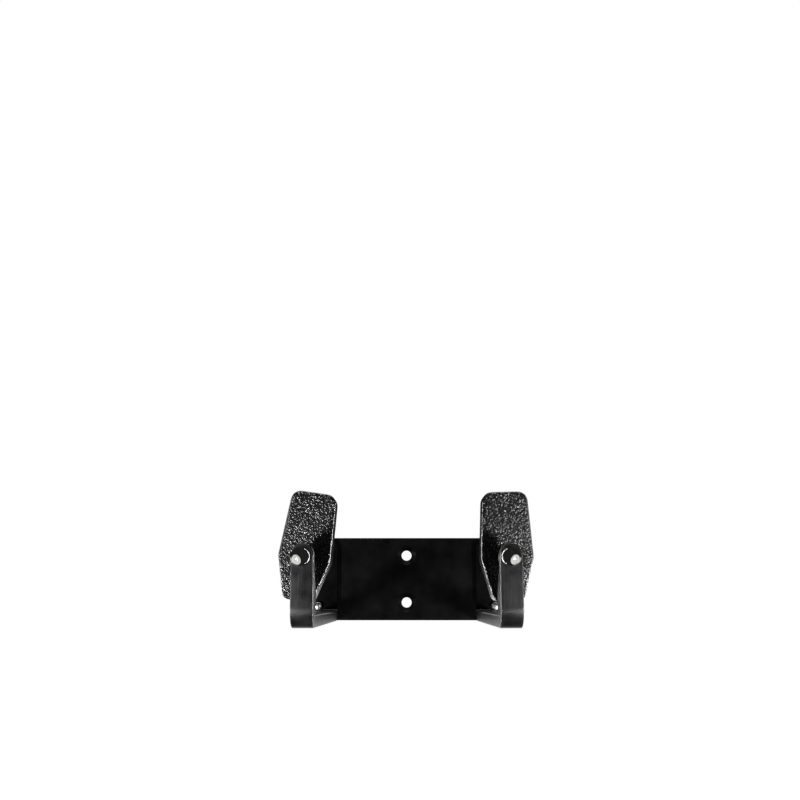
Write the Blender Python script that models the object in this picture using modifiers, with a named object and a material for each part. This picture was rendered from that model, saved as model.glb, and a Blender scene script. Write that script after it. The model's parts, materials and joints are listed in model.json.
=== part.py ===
"""Wall guitar hanger: a wall plate, two bent arms and two padded yokes that swivel on pins.

The origin is the centre of the wall plate's back face. +Y points into the wall,
so the hanger reaches towards -Y, and +Z is up. Dimensions are in millimetres.
"""

import math

import bmesh
import bpy
from mathutils import Matrix, Vector

MM = 0.001
GAP = 0.3
ARC_STEP = math.radians(18)
TURN_STEPS = 24
MERGE = 0.000001
THIN_EDGE = 0.4
TIP_CHAMFER = 0.5
PAST_FACE = 1.0
LEAST_CORNER = 0.6
EDGE_ANGLE = math.radians(40)
HEX_EDGE_ANGLE = math.radians(70)
SHADED_ANGLE = math.radians(35)

# Wall plate
PLATE_WIDTH = 104.0
PLATE_HEIGHT = 42.0
PLATE_THICK = 3.0
PLATE_CORNER = 1.2
PLATE_EDGE = 0.5
WALL_HOLE_RADIUS = 2.6
WALL_HOLE_SINK = 2.3
WALL_HOLE_RISE = 12.0

# Foot plates, one behind each arm, flush with the arm's inner side
FOOT_WIDTH = 15.5
FOOT_HEIGHT = 40.0
FOOT_THICK = 3.0
FOOT_CORNER = 5.0

# Arms: flat bar, bent up at the front into an ear
ARM_X = 40.1
PIVOT_Z = 5.7
PIVOT_SHIFT = {"left": 0.7, "right": 0.0}
REACH = 140.0
BAR_WIDTH = 8.8
BAR_THICK = 5.0
BAR_EDGE = 0.8
ARM_BOTTOM = -21.3
EAR_ABOVE_PIVOT = 5.2
FRONT_BEND = 8.0
SLIVER = 0.01
GUSSET_THICK = 2.0
GUSSET_DEPTH = 8.2
GUSSET_TOP = -0.4
GUSSET_SHOULDER = -8.6
GUSSET_TIP = 1.0
GUSSET_CORNER = 2.0

# Screws that hold the feet to the wall plate, put in from the wall side
FOOT_SCREW_X = 45.3
FOOT_SCREW_RADIUS = 2.0
FOOT_SCREW_HEAD = 3.6
FOOT_SCREW_SINK = 1.7
FOOT_SCREW_PROUD = 1.8
FOOT_SCREW_HEIGHTS = {"lower": -13.9, "upper": 14.0}
RECESS_WIDTH = 0.9
RECESS_LENGTH = 3.6
RECESS_DEPTH = 1.2

# Pads, by the distance behind the pad's front face
PAD_FRONT = 14.0 - REACH
PAD_DEPTH = 12.0
PAD_TOP = 26.7
PAD_BOTTOM = -16.9
PAD_TOP_HALF = 9.1
PAD_WAIST_HALF = 10.7
PAD_BOTTOM_HALF = 6.1
PAD_BOTTOM_CORNER = 3.2
PAD_WAIST_CORNER = 3.5
PAD_TOP_CORNER = 4.2
PAD_EDGE = 2.0
COVER_THICK = 0.8
COVER_RETURN = 3.5
FOAM_THICK = 2.6
BACK_PLATE_THICK = 1.5
BACK_PLATE_INSET = 1.0
LEAN = {"left": math.radians(8.35), "right": math.radians(-1.25)}

# Pivot hardware
BOLT_RADIUS = 2.0
BORE_RADIUS = 2.3
DOME_RADIUS = 3.75
DOME_HEIGHT = 2.6
DOME_RIM = 0.5
DOME_STEPS = 6
BUSH_RADIUS = 3.2
BUSH_BORE = 3.5
FLANGE_RADIUS = 3.9
FLANGE_THICK = 1.0
WASHER_RADIUS = 3.8
WASHER_THICK = 0.8
WAVE_THICK = 0.4
WAVE_RISE = 0.35
WAVE_COUNT = 3
SPACER_RADIUS = 2.9
NUT_FLATS = 7.0
NUT_HEIGHT = 3.2
COLLAR_HEIGHT = 1.2
COLLAR_RADIUS = 3.0
BOLT_PROUD = 1.5

FACING_FRONT = (math.pi / 2, 0, 0)
FACING_WALL = (-math.pi / 2, 0, 0)
SEEN_FROM_SIDE = (math.pi / 2, 0, math.pi / 2)
CORNER_SIGNS = [(-1, -1), (1, -1), (1, 1), (-1, 1)]

# Base colour, metallic, roughness
SATIN_BLACK = ((0.012, 0.012, 0.013), 0.2, 0.42)
BRIGHT_CHROME = ((0.78, 0.78, 0.80), 1.0, 0.08)
ZINC = ((0.62, 0.63, 0.65), 1.0, 0.28)
SPRING_STEEL = ((0.36, 0.36, 0.38), 1.0, 0.35)
BLACK_LEATHERETTE = ((0.010, 0.010, 0.011), 0.0, 0.48)
GREY_FOAM = ((0.09, 0.09, 0.095), 0.0, 0.95)
BIRCH_PLY = ((0.50, 0.34, 0.19), 0.0, 0.70)
BLACK_BOARD = ((0.020, 0.020, 0.022), 0.0, 0.65)
BLACK_NYLON = ((0.015, 0.015, 0.016), 0.0, 0.45)


def clear_scene():
    for old in list(bpy.data.objects):
        bpy.data.objects.remove(old, do_unlink=True)


def new_collection(name):
    collection = bpy.data.collections.new(name)
    bpy.context.scene.collection.children.link(collection)
    return collection


def give_finish(target, finish):
    """Give an object its own Principled material."""
    colour, metallic, roughness = finish
    material = bpy.data.materials.new(target.name)
    material.use_nodes = True
    shader = material.node_tree.nodes["Principled BSDF"]
    shader.inputs["Base Color"].default_value = (*colour, 1)
    shader.inputs["Metallic"].default_value = metallic
    shader.inputs["Roughness"].default_value = roughness
    target.data.materials.append(material)


def place(target, location, rotation, parent):
    target.location = Vector(location) * MM
    target.rotation_euler = rotation
    target.parent = parent


# Outlines ---------------------------------------------------------------

def circle(radius, centre=(0, 0), count=TURN_STEPS):
    """Points of a circle in a flat outline."""
    turns = [2 * math.pi * step / count for step in range(count)]
    return [Vector((centre[0] + radius * math.cos(t), centre[1] + radius * math.sin(t))) for t in turns]


def rounded(corners):
    """Points of a closed outline whose corners are (x, y, radius)."""
    points = []
    for index, (x, y, radius) in enumerate(corners):
        corner = Vector((x, y))
        if radius == 0:
            points.append(corner)
            continue
        back = (Vector(corners[index - 1][:2]) - corner).normalized()
        ahead = (Vector(corners[(index + 1) % len(corners)][:2]) - corner).normalized()
        half = back.angle(ahead) / 2
        centre = corner + (back + ahead).normalized() * radius / math.sin(half)
        start = corner + back * radius / math.tan(half) - centre
        turn = math.pi - 2 * half
        if back.cross(ahead) > 0:
            turn = -turn
        steps = max(2, math.ceil(abs(turn) / ARC_STEP))
        for step in range(steps + 1):
            points.append(centre + Matrix.Rotation(turn * step / steps, 2) @ start)
    return points


def inset(corners, distance):
    """An anticlockwise outline with every side moved inwards."""
    moved = []
    for index, (x, y, radius) in enumerate(corners):
        corner = Vector((x, y))
        arriving = (corner - Vector(corners[index - 1][:2])).normalized()
        leaving = (Vector(corners[(index + 1) % len(corners)][:2]) - corner).normalized()
        inward = Vector((-arriving.y, arriving.x)) + Vector((-leaving.y, leaving.x))
        mitre = inward * distance / (1 + arriving.dot(leaving))
        moved.append((corner.x + mitre.x, corner.y + mitre.y, max(radius - distance, LEAST_CORNER)))
    return moved


def pad_corners():
    """The pad's long hexagon about its pin, widest at the pin's height."""
    return [
        (PAD_BOTTOM_HALF, PAD_BOTTOM, PAD_BOTTOM_CORNER),
        (PAD_WAIST_HALF, 0, PAD_WAIST_CORNER),
        (PAD_TOP_HALF, PAD_TOP, PAD_TOP_CORNER),
        (-PAD_TOP_HALF, PAD_TOP, PAD_TOP_CORNER),
        (-PAD_WAIST_HALF, 0, PAD_WAIST_CORNER),
        (-PAD_BOTTOM_HALF, PAD_BOTTOM, PAD_BOTTOM_CORNER),
    ]


# Solids -----------------------------------------------------------------

def prism(name, outlines, near, far, finish=None, rotation=FACING_FRONT, offset=(0, 0), parent=None):
    """Extrude flat outlines, the first outer and the rest holes, between two planes.

    Facing the front or the wall, near and far are Y; seen from the side they are X.
    Offset moves the outline in its own plane.
    """
    curve = bpy.data.curves.new(name, "CURVE")
    curve.dimensions = "2D"
    curve.fill_mode = "BOTH"
    curve.extrude = (far - near) / 2 * MM
    for outline in outlines:
        spline = curve.splines.new("POLY")
        spline.points.add(len(outline) - 1)
        spline.use_cyclic_u = True
        for point, flat in zip(spline.points, outline):
            point.co = ((flat.x + offset[0]) * MM, (flat.y + offset[1]) * MM, 0, 1)
    source = bpy.data.objects.new(name, curve)
    cutters.objects.link(source)
    bpy.context.view_layer.update()
    mesh = bpy.data.meshes.new_from_object(source.evaluated_get(bpy.context.evaluated_depsgraph_get()))
    bpy.data.objects.remove(source)
    bpy.data.curves.remove(curve)
    work = bmesh.new()
    work.from_mesh(mesh)
    bmesh.ops.remove_doubles(work, verts=work.verts, dist=MERGE)
    bmesh.ops.recalc_face_normals(work, faces=work.faces)
    work.to_mesh(mesh)
    work.free()
    middle = (near + far) / 2
    along = (middle, 0, 0) if rotation == SEEN_FROM_SIDE else (0, middle, 0)
    return finished(name, mesh, finish, along, rotation, parent)


def turned(name, profile, finish, location, rotation=FACING_FRONT, parent=None, closed=False):
    """Turn a profile of (radius, height), which runs down its outer side, about its own Z."""
    count = len(profile)
    edges = [(index, index + 1) for index in range(count - 1)]
    if closed:
        edges.append((count - 1, 0))
    mesh = bpy.data.meshes.new(name)
    mesh.from_pydata([(radius * MM, 0, height * MM) for radius, height in profile], edges, [])
    piece = finished(name, mesh, finish, location, rotation, parent)
    screw = piece.modifiers.new("Turn", "SCREW")
    screw.axis = "Z"
    screw.steps = TURN_STEPS
    screw.render_steps = TURN_STEPS
    screw.use_merge_vertices = True
    screw.merge_threshold = MERGE
    screw.use_normal_calculate = False
    return piece


def ring(name, inner, outer, near, far, finish, x=0, z=0, parent=None):
    """A tube or washer about a pin's axis, between two Y planes."""
    half = (far - near) / 2
    profile = [(inner, half), (outer, half), (outer, -half), (inner, -half)]
    middle = (x, (near + far) / 2, z)
    return turned(name, profile, finish, middle, parent=parent, closed=True)


def finished(name, mesh, finish, location, rotation, parent):
    """Make the object: a piece with its material, or a cutter when it has no finish."""
    mesh.name = name
    target = bpy.data.objects.new(name, mesh)
    place(target, location, rotation, parent)
    if finish is None:
        target.hide_render = True
        target.display_type = "WIRE"
        cutters.objects.link(target)
    else:
        give_finish(target, finish)
        hanger.objects.link(target)
    return target


def combine(target, other, operation="DIFFERENCE"):
    modifier = target.modifiers.new(operation.capitalize(), "BOOLEAN")
    modifier.operation = operation
    modifier.solver = "EXACT"
    modifier.object = other


def round_edges(target, width, segments=2, angle=EDGE_ANGLE):
    bevel = target.modifiers.new("Edges", "BEVEL")
    bevel.width = width * MM
    bevel.segments = segments
    bevel.limit_method = "ANGLE"
    bevel.angle_limit = angle


# Wall plate and arms ----------------------------------------------------

def pivot_x(side, sign):
    """The left bolt's hole lies slightly outside the middle of its arm."""
    return sign * (ARM_X + PIVOT_SHIFT[side])


def screw_hole_cutter(name, x, z, shank, head, sink, mouth, depth, facing):
    """A countersunk hole: a cone from its mouth down to the shank, then straight through."""
    profile = [(0, PAST_FACE), (head, PAST_FACE), (head, 0), (shank, -sink), (shank, -depth), (0, -depth)]
    return turned(name, profile, None, (x, mouth, z), facing)


def countersunk_hole(name, x, z, depth):
    """The hole for a foot screw, with its mouth in the wall plate's back."""
    head = FOOT_SCREW_HEAD + GAP
    return screw_hole_cutter(name, x, z, BORE_RADIUS, head, FOOT_SCREW_SINK, 0, depth, FACING_WALL)


def make_wall_plate():
    width, height = PLATE_WIDTH / 2, PLATE_HEIGHT / 2
    corners = [(sx * width, sz * height, PLATE_CORNER) for sx, sz in CORNER_SIGNS]
    plate = prism("wall_plate", [rounded(corners)], -PLATE_THICK, 0, SATIN_BLACK)
    round_edges(plate, PLATE_EDGE)
    through = PLATE_THICK + PAST_FACE
    mouth = WALL_HOLE_RADIUS + WALL_HOLE_SINK
    for sign in (-1, 1):
        z = sign * WALL_HOLE_RISE
        combine(plate, screw_hole_cutter(f"wall_hole_{sign}", 0, z, WALL_HOLE_RADIUS, mouth,
                                         WALL_HOLE_SINK, -PLATE_THICK, through, FACING_FRONT))
        for height_name, z in FOOT_SCREW_HEIGHTS.items():
            combine(plate, countersunk_hole(f"{height_name}_hole_{sign}", sign * FOOT_SCREW_X, z, through))


def make_foot_plate(side, sign):
    """Upright plate welded to the arm's end, with two tapped holes beside the arm."""
    inner = ARM_X - BAR_WIDTH / 2
    middle = sign * (inner + FOOT_WIDTH / 2)
    corners = [
        (middle + sx * FOOT_WIDTH / 2, sz * FOOT_HEIGHT / 2, FOOT_CORNER) for sx, sz in CORNER_SIGNS
    ]
    holes = [circle(BORE_RADIUS, (sign * FOOT_SCREW_X, z)) for z in FOOT_SCREW_HEIGHTS.values()]
    near = -PLATE_THICK - GAP - FOOT_THICK
    foot = prism(f"{side}_foot_plate", [rounded(corners), *holes], near, near + FOOT_THICK, SATIN_BLACK)
    round_edges(foot, THIN_EDGE, 1)


def arm_profile():
    """The arm seen from the side, as (y, z, radius), from the wall round to the ear."""
    back = -PLATE_THICK - FOOT_THICK - 2 * GAP
    ear_top = PIVOT_Z + EAR_ABOVE_PIVOT
    return [
        (back, ARM_BOTTOM, 0),
        (back, ARM_BOTTOM + BAR_THICK, 0),
        (BAR_THICK - REACH, ARM_BOTTOM + BAR_THICK, FRONT_BEND - BAR_THICK),
        (BAR_THICK - REACH, ear_top, 0),
        (-REACH, ear_top, 0),
        (-REACH, ARM_BOTTOM, FRONT_BEND),
    ]


def make_arm(side, sign):
    x = sign * ARM_X
    half = BAR_WIDTH / 2
    arm = prism(f"{side}_arm", [rounded(arm_profile())], x - half, x + half, SATIN_BLACK, SEEN_FROM_SIDE)
    ear_top = PIVOT_Z + EAR_ABOVE_PIVOT
    clear = half + PAST_FACE
    shoulder = ear_top - clear
    front_view = [
        (x - clear, ARM_BOTTOM - PAST_FACE, 0),
        (x + clear, ARM_BOTTOM - PAST_FACE, 0),
        (x + clear, shoulder, 0),
        (x + half, shoulder, 0),
        (x + half, ear_top, half - SLIVER),
        (x - half, ear_top, half - SLIVER),
        (x - half, shoulder, 0),
        (x - clear, shoulder, 0),
    ]
    ear_outline = prism(f"{side}_ear_outline", [rounded(front_view)], -REACH - PAST_FACE, PAST_FACE)
    combine(arm, ear_outline, "INTERSECT")
    round_edges(arm, BAR_EDGE)
    bore_end = 2 * BAR_THICK - REACH
    bore = [circle(BORE_RADIUS, (pivot_x(side, sign), PIVOT_Z))]
    combine(arm, prism(f"{side}_ear_bore", bore, -REACH - PAST_FACE, bore_end))


def make_gusset(side, sign):
    """The rib in the corner behind the ear, along the edge that faces the neck."""
    front = BAR_THICK + GAP - REACH
    bottom = ARM_BOTTOM + BAR_THICK + GAP
    corners = [
        (front, bottom, FRONT_BEND - BAR_THICK - GAP),
        (front + GUSSET_DEPTH, bottom, 0),
        (front + GUSSET_DEPTH, GUSSET_SHOULDER, GUSSET_CORNER),
        (front + GUSSET_TIP, GUSSET_TOP, 0),
        (front, GUSSET_TOP, 0),
    ]
    inner = sign * (ARM_X - BAR_WIDTH / 2)
    outer = inner + sign * GUSSET_THICK
    near, far = sorted((inner, outer))
    gusset = prism(f"{side}_gusset", [rounded(corners)], near, far, SATIN_BLACK, SEEN_FROM_SIDE)
    round_edges(gusset, THIN_EDGE)


def make_foot_screws(side, sign):
    tip = PLATE_THICK + GAP + FOOT_THICK + FOOT_SCREW_PROUD
    profile = [
        (0, 0),
        (FOOT_SCREW_HEAD, 0),
        (FOOT_SCREW_RADIUS, -FOOT_SCREW_SINK),
        (FOOT_SCREW_RADIUS, TIP_CHAMFER - tip),
        (FOOT_SCREW_RADIUS - TIP_CHAMFER, -tip),
        (0, -tip),
    ]
    arm_width, arm_length = RECESS_WIDTH / 2, RECESS_LENGTH / 2
    cross = [
        (-arm_width, -arm_length), (arm_width, -arm_length), (arm_width, -arm_width),
        (arm_length, -arm_width), (arm_length, arm_width), (arm_width, arm_width),
        (arm_width, arm_length), (-arm_width, arm_length), (-arm_width, arm_width),
        (-arm_length, arm_width), (-arm_length, -arm_width), (-arm_width, -arm_width),
    ]
    slight_turn = Matrix.Rotation(math.pi / TURN_STEPS, 2)
    for height_name, z in FOOT_SCREW_HEIGHTS.items():
        name = f"{side}_{height_name}_foot_screw"
        x = sign * FOOT_SCREW_X
        screw = turned(name, profile, ZINC, (x, -GAP / 2, z), FACING_WALL)
        outline = [slight_turn @ Vector(point) for point in cross]
        combine(screw, prism(f"{name}_recess", [outline], -RECESS_DEPTH, PAST_FACE, offset=(x, z)))


# Pivot hardware ---------------------------------------------------------

def pivot_stack():
    """Y planes of the pieces on the pin, from the ear back to the bolt's end."""
    flange_back = PAD_FRONT - GAP
    flange_front = flange_back - FLANGE_THICK
    wave_back = flange_front - GAP
    wave_front = wave_back - WAVE_THICK - 2 * WAVE_RISE
    washer_front = BAR_THICK - REACH + GAP
    spacer_front = washer_front + WASHER_THICK + GAP
    bush_end = PAD_FRONT + PAD_DEPTH + GAP + BACK_PLATE_THICK + GAP
    rear_washer = bush_end + GAP
    nut = rear_washer + WASHER_THICK + GAP
    return {
        "flange": (flange_front, flange_back),
        "wave": (wave_front, wave_back),
        "washer": (washer_front, washer_front + WASHER_THICK),
        "spacer": (spacer_front, wave_front - GAP),
        "bush_end": bush_end,
        "rear_washer": (rear_washer, rear_washer + WASHER_THICK),
        "nut": (nut, nut + NUT_HEIGHT),
        "bolt_end": nut + NUT_HEIGHT + COLLAR_HEIGHT + BOLT_PROUD,
    }


def make_pivot_bolt(side, x, stack):
    """Dome-headed bolt, which goes in from the front and stays with the arm."""
    under_head = -REACH - GAP
    length = stack["bolt_end"] - under_head
    bulge = (DOME_RADIUS ** 2 + (DOME_HEIGHT - DOME_RIM) ** 2) / (2 * (DOME_HEIGHT - DOME_RIM))
    half_angle = math.asin(DOME_RADIUS / bulge)
    dome = []
    for step in range(DOME_STEPS + 1):
        angle = half_angle * step / DOME_STEPS
        dome.append((bulge * math.sin(angle), DOME_HEIGHT - bulge + bulge * math.cos(angle)))
    shank = [
        (DOME_RADIUS, 0),
        (BOLT_RADIUS, 0),
        (BOLT_RADIUS, TIP_CHAMFER - length),
        (BOLT_RADIUS - TIP_CHAMFER, -length),
        (0, -length),
    ]
    turned(f"{side}_pivot_bolt", dome + shank, BRIGHT_CHROME, (x, under_head, PIVOT_Z))


def make_wave_washer(side, x, stack):
    """Spring washer with three waves, which gives the pad its drag."""
    near, far = stack["wave"]
    half = WAVE_THICK / 2
    flat = ring(f"{side}_wave_ring", BORE_RADIUS, WASHER_RADIUS, -half, half, SPRING_STEEL)
    bpy.context.view_layer.update()
    mesh = bpy.data.meshes.new_from_object(flat.evaluated_get(bpy.context.evaluated_depsgraph_get()))
    bpy.data.objects.remove(flat)
    for vertex in mesh.vertices:
        vertex.co.z += WAVE_RISE * MM * math.cos(WAVE_COUNT * math.atan2(vertex.co.y, vertex.co.x))
    mesh.materials.clear()
    centre = (x, (near + far) / 2, PIVOT_Z)
    finished(f"{side}_wave_washer", mesh, SPRING_STEEL, centre, FACING_FRONT, None)


def make_lock_nut(side, x, stack):
    """Hexagon nut with a round collar, which keeps its setting."""
    near, far = stack["nut"]
    centre = (x, PIVOT_Z)
    nut = prism(f"{side}_lock_nut", [circle(NUT_FLATS / math.sqrt(3), centre, 6)], near, far, ZINC)
    round_edges(nut, THIN_EDGE, 1, HEX_EDGE_ANGLE)
    collar_end = far + COLLAR_HEIGHT
    collar = prism(f"{side}_nut_collar", [circle(COLLAR_RADIUS, centre)], far - PAST_FACE, collar_end)
    combine(nut, collar, "UNION")
    bore = [circle(BORE_RADIUS, centre)]
    combine(nut, prism(f"{side}_nut_bore", bore, near - PAST_FACE, collar_end + PAST_FACE))


def make_pivot(side, sign):
    x = pivot_x(side, sign)
    stack = pivot_stack()
    make_pivot_bolt(side, x, stack)
    ring(f"{side}_ear_washer", BORE_RADIUS, WASHER_RADIUS, *stack["washer"], BLACK_NYLON, x, PIVOT_Z)
    ring(f"{side}_spacer", BORE_RADIUS, SPACER_RADIUS, *stack["spacer"], BLACK_NYLON, x, PIVOT_Z)
    make_wave_washer(side, x, stack)
    ring(f"{side}_rear_washer", BORE_RADIUS, WASHER_RADIUS, *stack["rear_washer"], ZINC, x, PIVOT_Z)
    make_lock_nut(side, x, stack)


# Pads -------------------------------------------------------------------

def layer(name, edge_inset, front, back, finish, axis, hole=None):
    """A slice of the pad, between two distances behind its front face."""
    outlines = [rounded(inset(pad_corners(), edge_inset))]
    if hole is not None:
        outlines.append(circle(hole))
    return prism(name, outlines, PAD_FRONT + front, PAD_FRONT + back, finish, parent=axis)


def make_cover(side, axis):
    """Leatherette skin: front, sides, and a narrow return on the back."""
    cover = layer(f"{side}_pad_cover", 0, 0, PAD_DEPTH, BLACK_LEATHERETTE, axis)
    round_edges(cover, PAD_EDGE, 3)
    inside = layer(f"{side}_cover_inside", COVER_THICK, COVER_THICK, PAD_DEPTH - COVER_THICK, None, axis)
    round_edges(inside, PAD_EDGE - COVER_THICK, 3)
    combine(cover, inside)
    mouth_end = PAD_DEPTH + PAST_FACE
    combine(cover, layer(f"{side}_cover_mouth", COVER_RETURN, PAD_DEPTH / 2, mouth_end, None, axis))
    hole = [circle(BUSH_BORE)]
    hole_end = PAD_FRONT + COVER_THICK + PAST_FACE
    combine(cover, prism(f"{side}_cover_hole", hole, PAD_FRONT - PAST_FACE, hole_end, parent=axis))


def make_foam(side, axis):
    """Foam over the front and sides of the core."""
    skin = COVER_THICK + GAP
    foam = layer(f"{side}_pad_foam", skin, skin, PAD_DEPTH - skin, GREY_FOAM, axis)
    round_edges(foam, PAD_EDGE - skin)
    pocket = skin + FOAM_THICK
    combine(foam, layer(f"{side}_foam_pocket", pocket, pocket, PAD_DEPTH + PAST_FACE, None, axis))
    hole = [circle(BUSH_BORE)]
    combine(foam, prism(f"{side}_foam_hole", hole, PAD_FRONT, PAD_FRONT + PAD_DEPTH / 2, parent=axis))


def make_bushing(side, axis, stack):
    """Flanged nylon bush, fixed in the core, that turns on the bolt."""
    flange_front, flange_back = stack["flange"]
    end = stack["bush_end"]
    profile = [
        (BORE_RADIUS, 0),
        (FLANGE_RADIUS, 0),
        (FLANGE_RADIUS, flange_front - flange_back),
        (BUSH_RADIUS, flange_front - flange_back),
        (BUSH_RADIUS, flange_front - end),
        (BORE_RADIUS, flange_front - end),
    ]
    turned(f"{side}_bushing", profile, BLACK_NYLON, (0, flange_front, 0), parent=axis, closed=True)


def make_pad(side, sign):
    axis = bpy.data.objects.new(f"{side}_pad_axis", None)
    axis.empty_display_size = PAD_DEPTH * MM
    place(axis, (pivot_x(side, sign), 0, PIVOT_Z), (0, LEAN[side], 0), None)
    hanger.objects.link(axis)
    make_cover(side, axis)
    make_foam(side, axis)
    core_inset = COVER_THICK + FOAM_THICK + 2 * GAP
    layer(f"{side}_pad_core", core_inset, core_inset, PAD_DEPTH, BIRCH_PLY, axis, BUSH_BORE)
    plate_front = PAD_DEPTH + GAP
    plate_back = plate_front + BACK_PLATE_THICK
    plate_name = f"{side}_pad_back_plate"
    plate = layer(plate_name, BACK_PLATE_INSET, plate_front, plate_back, BLACK_BOARD, axis, BUSH_BORE)
    round_edges(plate, THIN_EDGE)
    make_bushing(side, axis, pivot_stack())


def shade_pieces():
    for piece in hanger.objects:
        if piece.type == "MESH":
            piece.data.shade_smooth()
            piece.data.set_sharp_from_angle(angle=SHADED_ANGLE)


clear_scene()
hanger = new_collection("wall_guitar_hanger")
cutters = new_collection("cutters")
make_wall_plate()
for side_name, side_sign in (("left", -1), ("right", 1)):
    make_foot_plate(side_name, side_sign)
    make_arm(side_name, side_sign)
    make_gusset(side_name, side_sign)
    make_foot_screws(side_name, side_sign)
    make_pivot(side_name, side_sign)
    make_pad(side_name, side_sign)
shade_pieces()
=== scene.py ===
"""Looks of a wall guitar hanger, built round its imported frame. Metres, +Z up, the wall at Y = 0."""

import json
import math

import bpy
import bmesh
import numpy as np
from mathutils import Matrix, Vector, noise

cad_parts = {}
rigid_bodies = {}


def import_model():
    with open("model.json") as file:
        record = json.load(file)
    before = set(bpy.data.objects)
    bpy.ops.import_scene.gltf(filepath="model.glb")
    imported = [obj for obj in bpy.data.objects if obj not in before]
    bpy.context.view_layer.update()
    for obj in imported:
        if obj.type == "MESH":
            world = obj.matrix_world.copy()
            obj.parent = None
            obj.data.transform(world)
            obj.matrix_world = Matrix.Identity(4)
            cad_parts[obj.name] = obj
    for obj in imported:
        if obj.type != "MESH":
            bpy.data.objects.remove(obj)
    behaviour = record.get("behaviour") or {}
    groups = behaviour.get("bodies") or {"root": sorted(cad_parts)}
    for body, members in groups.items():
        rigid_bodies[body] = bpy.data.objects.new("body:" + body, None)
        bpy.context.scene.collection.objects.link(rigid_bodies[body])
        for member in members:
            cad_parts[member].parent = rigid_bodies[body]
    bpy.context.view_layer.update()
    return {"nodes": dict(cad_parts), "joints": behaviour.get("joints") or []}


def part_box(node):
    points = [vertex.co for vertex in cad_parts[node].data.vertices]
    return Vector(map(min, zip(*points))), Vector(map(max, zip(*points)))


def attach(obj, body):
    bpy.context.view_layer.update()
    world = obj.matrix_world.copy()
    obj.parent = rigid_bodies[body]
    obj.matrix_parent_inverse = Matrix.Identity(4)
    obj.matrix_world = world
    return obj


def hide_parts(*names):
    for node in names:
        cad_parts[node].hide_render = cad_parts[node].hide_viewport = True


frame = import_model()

MM = 0.001
SIDES = {"left": -1, "right": 1}
ROUND_STEPS = 64
SCREW_ROUND_STEPS = 40
CORNER_STEPS = 6

# Bar that makes each arm
BAR_WIDTH = 8.8 * MM
BAR_THICK = 5.0 * MM
BAR_EDGE = 0.55 * MM
BEND_OUTER = 8.0 * MM
BEND_STEPS = 20
EAR_TIP_STEPS = 12

# Pads, measured from their pivot with the pad upright: (x, z, corner radius)
PAD_OUTLINE = [
    (6.1 * MM, -16.9 * MM, 3.2 * MM),
    (10.7 * MM, 0, 3.5 * MM),
    (9.1 * MM, 26.7 * MM, 4.2 * MM),
    (-9.1 * MM, 26.7 * MM, 4.2 * MM),
    (-10.7 * MM, 0, 3.5 * MM),
    (-6.1 * MM, -16.9 * MM, 3.2 * MM),
]
PAD_LEAN = {"left": math.radians(8.35), "right": math.radians(-1.25)}
PAD_POINTS = 132
OUTLINE_CORNER_STEPS = 12
PAD_HOLE = 3.5 * MM
PAD_ROLL = 0.8 * MM
PAD_START_INSET = 0.15 * MM
PAD_FACE_ROWS = 16
PAD_SIDE_ROWS = 9
PAD_SWELL = 0.45 * MM
PAD_PRESSURE = 4.0
PAD_ROLL_STEPS = 4
PAD_BACK_ROLL_STEPS = 3
PAD_BACK_ROWS = (0.12, 0.3, 0.6, 1.0)
PAD_BORE_ROWS = (0.75, 0.5, 0.25)
PAD_BACK_PINNED = 2 * MM
PAD_HOLE_PINNED = 5.2 * MM
PAD_BACK_RECESS = 0.1 * MM
SWELL_FRAMES = 20
GRAIN_PITCH = 1.0 * MM
GRAIN_HEIGHT = 0.10 * MM
GRAIN_SEED = 7
PEBBLE_SIZE = 0.80 * MM
CREASE_SWAY = 0.8 * MM

# Hardware
BORE_RADIUS = 2.3 * MM
SHANK_RADIUS = 2.0 * MM
SHANK_TIP_RADIUS = 1.5 * MM
DOME_HEIGHT = 2.1 * MM
DOME_STEPS = 24
HEAD_DEPTH = 2.6 * MM
BOLT_THREAD_RADIUS = 1.9 * MM
THREAD_PITCH = 0.7 * MM
THREAD_RIDGE = 0.21 * MM
THREAD_STEPS_A_TURN = 28
SCREW_CORE_RADIUS = 1.92 * MM
SCREW_TIP_ANGLE = math.radians(60)
SCREW_TIP_STEPS = 8
SCREW_TIP_RISE = 0.45 * MM
SPRING_THICK = 0.4 * MM
SPRING_WAVE = 0.35 * MM
SPRING_WAVES = 3
FLANGE_RADIUS = 3.9 * MM
FLANGE_THICK = 1.0 * MM
BUSH_RADIUS = 3.2 * MM
NUT_FLAT = 3.5 * MM
NUT_CORNER = 4.2 * MM
NUT_STEPS = 72
NUT_EDGE_ANGLE = math.radians(28)
FOOT_WELD_RADIUS = 0.95 * MM
RIB_WELD_RADIUS = 0.6 * MM
WELD_RIPPLE = 0.75 * MM
WELD_BEND_STEPS = 6
MERGE_DISTANCE = 1e-7


# Materials --------------------------------------------------------------

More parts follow.
